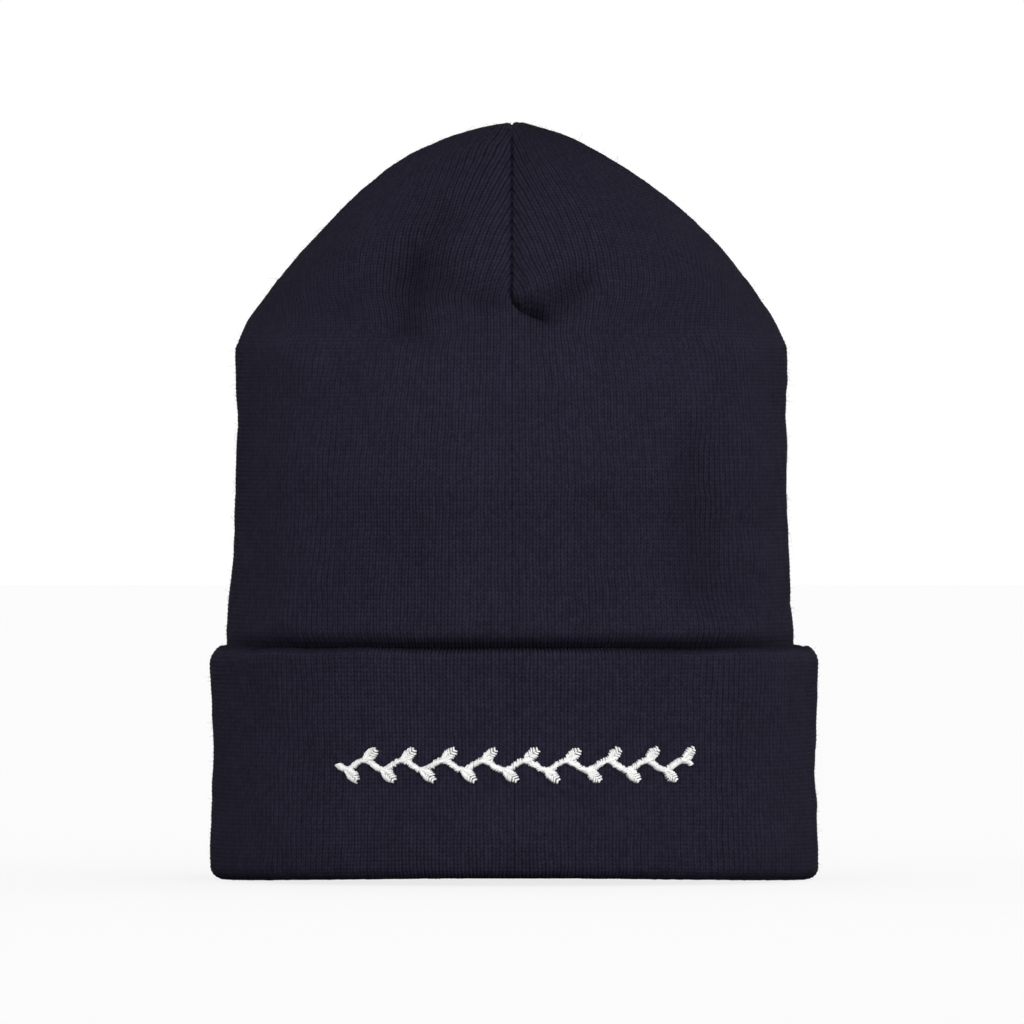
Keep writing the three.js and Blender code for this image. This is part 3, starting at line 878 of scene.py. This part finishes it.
def grow_fuzz(name, pieces, lowest, material):
    """Short loose fibres that stand off the crests of the knit and curl back over it."""
    roots, normals = [], []
    for piece in pieces:
        mesh = piece.data
        size = len(mesh.vertices)
        co, normal = np.empty(size * 3, np.float32), np.empty(size * 3, np.float32)
        mesh.vertices.foreach_get("co", co)
        mesh.vertices.foreach_get("normal", normal)
        co, normal = co.reshape(-1, 3) / MM, normal.reshape(-1, 3)
        above = np.flatnonzero(co[:, 2] > lowest)
        picked = rng.choice(above, FIBRES // len(pieces), replace=False)
        roots.append(co[picked])
        normals.append(normal[picked])
    roots, normals = np.concatenate(roots), np.concatenate(normals)
    length = rng.gamma(*FIBRE_LENGTH, (len(roots), 1))
    drift = rng.normal(size=roots.shape)
    drift -= normals * (drift * normals).sum(1, keepdims=True)
    drift /= np.linalg.norm(drift, axis=1, keepdims=True)
    bend = rng.uniform(0.2, 1.6, (len(roots), 1))
    curl = rng.normal(0, 0.35, roots.shape)
    steps = np.linspace(0, 1, FIBRE_POINTS)[None, :, None]
    rise = normals[:, None] * length[:, None] * (0.75 * steps - 0.45 * bend[:, None] * steps**2)
    run = drift[:, None] * length[:, None] * steps * bend[:, None] * 0.7
    curled = curl[:, None] * length[:, None] * steps**2
    paths = roots[:, None] - 0.1 * normals[:, None] + rise + run + curled
    taper = np.linspace(1.0, 0.45, FIBRE_POINTS)[None]
    radius = FIBRE_RADIUS * taper * rng.uniform(0.7, 1.2, (len(roots), 1))
    return tubes(name, paths, radius, FIBRE_SIDES, material)


# ---- Care label ----

RIBBON_THICKNESS = 0.16
RIBBON_CURL = 1.3  # how far the label's lower end stands off the lining
HEAD_THICKNESS = 0.3
LABEL_STITCHES = 13
LABEL_THREAD_RADIUS = 0.17


def ribbon(name, path, half_width, thickness, material):
    """A ribbon whose middle follows path, points (y, z) down and round it."""
    path = np.array(path, float)
    along = np.gradient(path, axis=0)
    along /= np.linalg.norm(along, axis=1, keepdims=True)
    normal = np.column_stack([along[:, 1], -along[:, 0]])
    x = np.linspace(-1, 1, 25)
    loops = []
    for side in (1, -1):
        across = np.repeat((x if side > 0 else x[::-1])[None] * half_width, len(path), 0)
        y = path[:, :1] + normal[:, :1] * side * thickness / 2
        z = path[:, 1:] + normal[:, 1:] * side * thickness / 2
        loops.append(np.dstack([across, y + 0 * across, z + 0 * across]))
    points = np.concatenate(loops, axis=1)
    index = np.arange(points.shape[0] * points.shape[1]).reshape(points.shape[:2])
    walls = [f for f in grid_faces(np.hstack([index, index[:, :1]]), False) if len(f)]
    ends = np.stack([index[0, ::-1], index[-1]])
    return make_piece(name, points.reshape(-1, 3), [*walls, ends], material)


def care_label(material):
    """A blank satin ribbon, doubled, with its fold at the bottom."""
    low, high = box_mm("care_label")
    gap = 0.3
    front, back = low[1] + 0.1, high[1] + 0.1
    middle, radius = (front + back) / 2, (back - front) / 2
    bottom = low[2] + radius
    z = np.linspace(high[2], bottom, 24)[:, None]
    away = RIBBON_CURL * ((high[2] - z) / (high[2] - low[2])) ** 2
    turn = np.linspace(0, np.pi, 9)[1:-1, None]
    down = np.hstack([front - away, z])
    fold = np.hstack([middle - away[-1] - radius * np.cos(turn), bottom - radius * np.sin(turn)])
    up = np.hstack([back - away, z])[::-1]
    path = np.vstack([down, fold, up])
    return ribbon("care_label_ribbon", path, high[0] - gap, RIBBON_THICKNESS, material)


def label_head(material):
    """The part of the label above its hinge line, which is sewn down."""
    low, high = box_mm("label_tack")
    z = np.linspace(high[2] + 0.9, low[2] - 0.7, 8)[:, None]
    path = np.hstack([np.full(z.shape, low[1] + 0.35), z])
    return ribbon("label_head", path, high[0] + 0.7, HEAD_THICKNESS, material)


def label_stitches(material):
    """A lockstitch row: short slanted stitches that dip through the label's head."""
    low, high = box_mm("label_tack")
    x = np.linspace(low[0] + 0.6, high[0] - 0.6, LABEL_STITCHES)
    reach = (x[1] - x[0]) * 0.42
    t = THREAD_STEPS
    paths = np.empty((LABEL_STITCHES, len(t), 3))
    paths[..., 0] = x[:, None] + reach * t
    paths[..., 1] = low[1] + 0.45 - 0.42 * (1 - t**4)
    paths[..., 2] = (low[2] + high[2]) / 2 + 0.12 * t + rng.normal(0, 0.04, (LABEL_STITCHES, 1))
    return tubes("label_stitches", paths, LABEL_THREAD_RADIUS, THREAD_SIDES, material)


# ---- Materials ----


def srgb(*levels):
    """Linear colour of sRGB levels from 0 to 255."""
    values = np.array(levels) / 255
    linear = np.where(values <= 0.04045, values / 12.92, ((values + 0.055) / 1.055) ** 2.4)
    return (*linear, 1.0)


class Nodes:
    """Short calls that add nodes to a new material, or to the world, and join them up."""

    def __init__(self, owner, shader="Principled BSDF"):
        owner.use_nodes = True
        self.owner = owner
        self.tree = owner.node_tree
        self.shader = self.tree.nodes[shader]

    def _join(self, node, key, value):
        if isinstance(value, bpy.types.NodeSocket):
            self.tree.links.new(value, node.inputs[key])
        else:
            node.inputs[key].default_value = value

    def add(self, kind, inputs=None, **settings):
        node = self.tree.nodes.new(kind)
        for key, value in settings.items():
            setattr(node, key, value)
        for key, value in (inputs or {}).items():
            self._join(node, key, value)
        return node

    def math(self, operation, a, b=0.0):
        return self.add("ShaderNodeMath", {0: a, 1: b}, operation=operation).outputs[0]

    def plus(self, a, b):
        return self.math("ADD", a, b)

    def minus(self, a, b):
        return self.math("SUBTRACT", a, b)

    def times(self, a, b):
        return self.math("MULTIPLY", a, b)

    def vector(self, x, y, z):
        return self.add("ShaderNodeCombineXYZ", {0: x, 1: y, 2: z}).outputs[0]

    def ramp(self, value, low, high, start=0.0, end=1.0):
        """start where the value is low, end where it is high, and a straight line between them."""
        inputs = {"Value": value, "From Min": low, "From Max": high, "To Min": start, "To Max": end}
        return self.add("ShaderNodeMapRange", inputs).outputs[0]

    def place(self):
        """Where a point is, in metres."""
        return self.add("ShaderNodeTexCoord").outputs["Object"]

    def mix(self, amount, a, b):
        node = self.add("ShaderNodeMix", data_type="RGBA")
        for key, value in ((0, amount), (6, a), (7, b)):
            self._join(node, key, value)
        return node.outputs[2]

    def noise(self, vector, scale, detail=2.0, roughness=0.5):
        inputs = {"Vector": vector, "Scale": scale, "Detail": detail, "Roughness": roughness}
        return self.add("ShaderNodeTexNoise", inputs).outputs["Fac"]

    def set(self, key, value):
        self._join(self.shader, key, value)

    def bump(self, height, distance, strength=1.0):
        inputs = {"Height": height, "Distance": distance, "Strength": strength}
        self.set("Normal", self.add("ShaderNodeBump", inputs).outputs[0])


BESIDE_LEGS = 0.31  # painted shade: how much darker the material makes the yarn in the gaps beside the legs of the stitches
BETWEEN_ROWS = 0.2  # and between one row and the next
WALE_EDGES = 0.3  # and once more between one wale and the next
OPENING = 1.4  # how much of all that is added up on the crown
OPENING_FROM = 0.155  # metres up
OPENING_TO = 0.2
# The dark colour that the painted shade in gaps and creases mixes the yarn towards.
PAINTED_SHADE_COLOUR = srgb(8, 7, 11)
YARN_AND_EDGE_SHADE = (srgb(50, 48, 65), srgb(33, 31, 43), srgb(15, 13, 21))  # light and dark yarn, mixed by fibre and stitch noise, and the painted shade for yarn seen edge on


def knit_material(name, light, dark, edge):
    """Matt spun yarn. Fibres run along each stitch's legs, and no two stitches, rows or wales are quite
    the same shade. Painted shade darkens the yarn between the legs and between the rows, most of all
    on the crown, where the cloth curves two ways and its gaps open; more painted shade darkens the
    creases, and the yarn seen edge on."""
    n = Nodes(bpy.data.materials.new(name))
    uv = n.add("ShaderNodeUVMap", uv_map="knit").outputs[0]
    split = n.add("ShaderNodeSeparateXYZ", {0: uv})
    cell, course = split.outputs[0], split.outputs[1]
    across = n.math("ABSOLUTE", n.minus(n.times(n.math("FRACT", cell), 2.0), 1.0))
    phase = n.minus(course, n.times(across, LEG_RISE))
    leg = n.math("FLOOR", n.times(cell, 2.0))
    row = n.math("FLOOR", n.plus(phase, 0.5))
    where = n.place()

    strand = n.vector(n.times(phase, 7.0), n.times(n.plus(course, across), 1.3), n.times(leg, 3.7))
    fibres = n.noise(strand, 1.6, 3.0, 0.65)
    stitch = {"Vector": n.vector(leg, row, 0.0)}
    each = n.add("ShaderNodeTexWhiteNoise", stitch, noise_dimensions="3D").outputs["Value"]
    patches = n.noise(where, 45.0)
    row_runs = n.noise(n.vector(n.times(cell, 0.13), row, 5.0), 1.0, 1.0)
    wale_runs = n.noise(n.vector(leg, n.times(course, 0.09), 9.0), 1.0, 1.0)
    runs = n.minus(n.plus(row_runs, wale_runs), 1.0)

    shade = n.plus(n.times(fibres, 0.85), n.times(each, 0.35))
    shade = n.plus(n.plus(shade, n.times(patches, 0.25)), n.times(runs, 0.3))
    yarn = n.mix(n.ramp(shade, 0.3, 1.15), dark, light)

    # Painted shade in the gaps beside the legs, between the rows and between the wales, most on the crown.
    crest = n.math("ABSOLUTE", n.math("SINE", n.times(cell, 2 * np.pi)))
    beside = n.math("POWER", n.minus(1.0, crest), 1.5)
    between = n.minus(0.5, n.times(n.math("COSINE", n.times(phase, 2 * np.pi)), 0.5))
    wale_edge = n.times(n.math("POWER", across, 8.0), WALE_EDGES)
    painted_gap_shade = n.plus(n.times(beside, BESIDE_LEGS), n.times(between, BETWEEN_ROWS))
    height = n.add("ShaderNodeSeparateXYZ", {0: where}).outputs[2]
    opening = n.ramp(height, OPENING_FROM, OPENING_TO, 1.0, OPENING)
    painted_gap_shade = n.times(n.plus(painted_gap_shade, wale_edge), opening)
    # Painted shade for the creases, as each point of the mesh carries it.
    painted_shade = n.add("ShaderNodeAttribute", attribute_name="painted_shade").outputs["Fac"]
    yarn = n.mix(n.math("MINIMUM", n.plus(painted_gap_shade, painted_shade), 1.0), yarn, PAINTED_SHADE_COLOUR)

    # Painted shade: the yarn turns towards the edge colour where it is seen edge on.
    facing = n.add("ShaderNodeLayerWeight", {"Blend": 0.5}).outputs["Facing"]
    n.set("Base Color", n.mix(n.times(n.ramp(facing, 0.57, 0.97), 0.9), yarn, edge))
    n.set("Roughness", n.plus(0.85, n.times(fibres, 0.15)))
    n.set("Specular IOR Level", 0.02)
    n.bump(fibres, 0.00012, 0.7)
    return n.owner


def fuzz_material():
    n = Nodes(bpy.data.materials.new("knit_fuzz"))
    tint = n.noise(n.place(), 900.0)
    n.set("Base Color", n.mix(tint, srgb(24, 23, 31), srgb(44, 42, 56)))
    n.set("Roughness", n.plus(0.6, n.times(tint, 0.2)))
    n.set("Specular IOR Level", 0.3)
    return n.owner


def thread_material(name, light, dark, roughness):
    """Twisted thread: fine bands round each strand, a soft gloss and slight shade changes."""
    n = Nodes(bpy.data.materials.new(name))
    where = n.place()
    twist = n.noise(where, 2600.0, 2.0, 0.6)
    slow = n.noise(where, 160.0, 1.0)
    amount = n.plus(n.times(twist, 0.6), n.times(slow, 0.4))
    n.set("Base Color", n.mix(amount, dark, light))
    n.set("Roughness", n.plus(roughness, n.times(twist, 0.2)))
    n.set("Specular IOR Level", 0.35)
    n.set("Sheen Weight", 0.15)
    n.bump(twist, 0.00005, 0.6)
    return n.owner


def sheet_material(name, light, dark, roughness):
    """Pressed or woven sheet, such as the backing and the blank label."""
    n = Nodes(bpy.data.materials.new(name))
    where = n.place()
    bands = {"Vector": where, "Scale": 420.0, "Distortion": 1.5}
    weave = n.add("ShaderNodeTexWave", bands, bands_direction="Z").outputs["Fac"]
    speck = n.noise(where, 700.0, 3.0, 0.7)
    amount = n.plus(n.times(weave, 0.4), n.times(speck, 0.6))
    n.set("Base Color", n.mix(amount, dark, light))
    n.set("Roughness", n.plus(roughness, n.times(speck, 0.25)))
    n.bump(amount, 0.00006, 0.5)
    return n.owner


body_knit = knit_material("body_knit", *YARN_AND_EDGE_SHADE)
cuff_knit = knit_material("cuff_knit", *YARN_AND_EDGE_SHADE)
lining_knit = knit_material("lining_knit", *YARN_AND_EDGE_SHADE)
fuzz = fuzz_material()
navy_thread = thread_material("seam_thread", srgb(40, 38, 52), srgb(24, 22, 32), 0.6)
white_thread = thread_material("embroidery_thread", srgb(254, 254, 252), srgb(238, 238, 238), 0.4)
backing_felt = sheet_material("backing_sheet", srgb(232, 230, 224), srgb(200, 198, 192), 0.75)
label_satin = sheet_material("label_satin", srgb(238, 236, 230), srgb(214, 211, 204), 0.35)


# ---- Body, lining and cuff ----


def place(pieces, body, slot, *nodes):
    """Lets pieces ride on a body and hides the CAD nodes they stand for. The slot is not used."""
    for piece in pieces:
        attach(piece, body)
        if nodes:
            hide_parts(*nodes)


def roll_up(pieces):
    """Gives each piece of the cuff its own copy of its mesh."""
    for piece in pieces:
        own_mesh(piece)


FINE = ((6, 4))  # columns to a wale and rows to a course
COARSE = (3, 2)

body = knit_bowl("knit_body", body_knit, 0.0, 0.0, *FINE, shape_body)
place(body, "crown", "body_knit", "body_outer_ply")

lining = knit_bowl("knit_lining", lining_knit, LINING_FACE, LINING_TOP, *COARSE, shape_lining)
place(lining, "crown", "lining_knit", "body_lining_ply")

cuff = knit_cuff(cuff_knit, *FINE)
place(cuff, "brim", "cuff_knit", "cuff_outer_ply")

inner_band = plain_ring("cuff_inner_band", (0.9, 2.4), (6.0, CUFF_HEIGHT - 4.5), cuff_knit)
place([inner_band], "brim", "cuff_knit", "cuff_inner_ply")
roll_up([*cuff, inner_band])


def body_reserve_offset(z):
    return np.full(len(z), -0.02)


def lining_reserve_offset(z):
    return LINING_FACE + 0.6 * (1 - smooth((z - 7.8) / 0.5))


body_reserve = knit_reserve("body_reserve", body_knit, body_reserve_offset, 1, 4, 2)
lining_reserve = knit_reserve("lining_reserve", lining_knit, lining_reserve_offset, -1, *COARSE)
for pieces, slot in ((body_reserve, "body_knit"), (lining_reserve, "lining_knit")):
    for piece in pieces:
        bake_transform(piece)


# ---- Embroidery, backing, loose fibres and label ----

for piece, along in embroider(white_thread):
    face, normal = on_cuff(np.array([along]), np.array([VINE_HEIGHT]), np.zeros(1))
    place([piece], "brim", "embroidery_thread", "embroidery")
    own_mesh(piece)

backing_piece = backing(backing_felt)
place([backing_piece], "brim", "backing_sheet", "embroidery_backing")

cuff_fuzz = grow_fuzz("cuff_fuzz", cuff, 3.0, fuzz)
place([cuff_fuzz], "brim", "cuff_knit")
roll_up([backing_piece, cuff_fuzz])

for name, half in (("body_fuzz_back", body[:2]), ("body_fuzz_front", body[2:])):
    place([grow_fuzz(name, half, CUFF_HEIGHT + 2, fuzz)], "crown", "body_knit")

place([care_label(label_satin)], "label", "label_satin", "care_label")
place([label_head(label_satin)], "crown", "label_satin", "label_tack")
place([label_stitches(navy_thread)], "crown", "seam_thread", "label_tack")


# ---- Seams and tack between the plies, as in the CAD part ----

for name, node in frame["nodes"].items():
    if "seam" in name or name == "crown_tack":
        node.material_slots[0].link = "OBJECT"
        node.material_slots[0].material = navy_thread


# ---- Floor, light and camera ----

FLOOR_SIZE = 40  # metres
FLOOR_SHADE = 0.18
FLOOR_GLOW = 0.8
SOFTBOX = 3.9  # light from the front and back
ALL_ROUND = 1.15  # and from all sides
FROM_RIGHT = 0.24  # how much stronger it is from the right
LESS_ABOVE = 0.92  # and how much weaker from above
VIEW_WIDTH = 0.2993  # metres across the picture at the hat's middle
VIEW_HEIGHT = 0.107  # height of the camera
LENS = 600.0
SENSOR = 36.0


def floor():
    """White and shadow-catching. Its own glow, which only the camera sees, lifts it to the background's
    white."""
    bpy.ops.mesh.primitive_plane_add(size=FLOOR_SIZE)
    plane = bpy.context.object
    plane.name = "floor"
    n = Nodes(bpy.data.materials.new("floor"))
    n.set("Base Color", (FLOOR_SHADE, FLOOR_SHADE, FLOOR_SHADE, 1.0))
    n.set("Roughness", 1.0)
    n.set("Specular IOR Level", 0.0)
    n.set("Emission Color", (1.0, 1.0, 1.0, 1.0))
    seen = n.add("ShaderNodeLightPath").outputs["Is Camera Ray"]
    n.set("Emission Strength", n.times(seen, FLOOR_GLOW))
    plane.data.materials.append(n.owner)


def world():
    """The camera sees plain white. The light is soft, strongest level from the front and back, as
    between two large softboxes, and a little stronger from one side."""
    n = Nodes(bpy.data.worlds.new("studio"), "Background")
    direction = n.add("ShaderNodeTexCoord").outputs["Generated"]
    x, y, z = n.add("ShaderNodeSeparateXYZ", {0: direction}).outputs
    glow = n.plus(n.times(n.times(y, y), SOFTBOX), ALL_ROUND)
    glow = n.times(glow, n.plus(n.times(x, FROM_RIGHT), 1.0))
    glow = n.times(glow, n.minus(1.0, n.times(z, LESS_ABOVE)))
    seen = n.add("ShaderNodeLightPath").outputs["Is Camera Ray"]
    n.set("Color", (1.0, 1.0, 1.0, 1.0))
    n.set("Strength", n.plus(n.times(glow, n.minus(1.0, seen)), seen))
    bpy.context.scene.world = n.owner


def camera():
    """A long lens square on to the front, from mid height."""
    data = bpy.data.cameras.new("camera")
    data.lens = LENS
    data.sensor_width = SENSOR
    cam = bpy.data.objects.new("camera", data)
    bpy.context.scene.collection.objects.link(cam)
    cam.location = (0, -VIEW_WIDTH * LENS / SENSOR, VIEW_HEIGHT)
    cam.rotation_euler = (np.pi / 2, 0, 0)
    bpy.context.scene.camera = cam


floor()
world()
bpy.context.scene.view_settings.view_transform = "Standard"
camera()
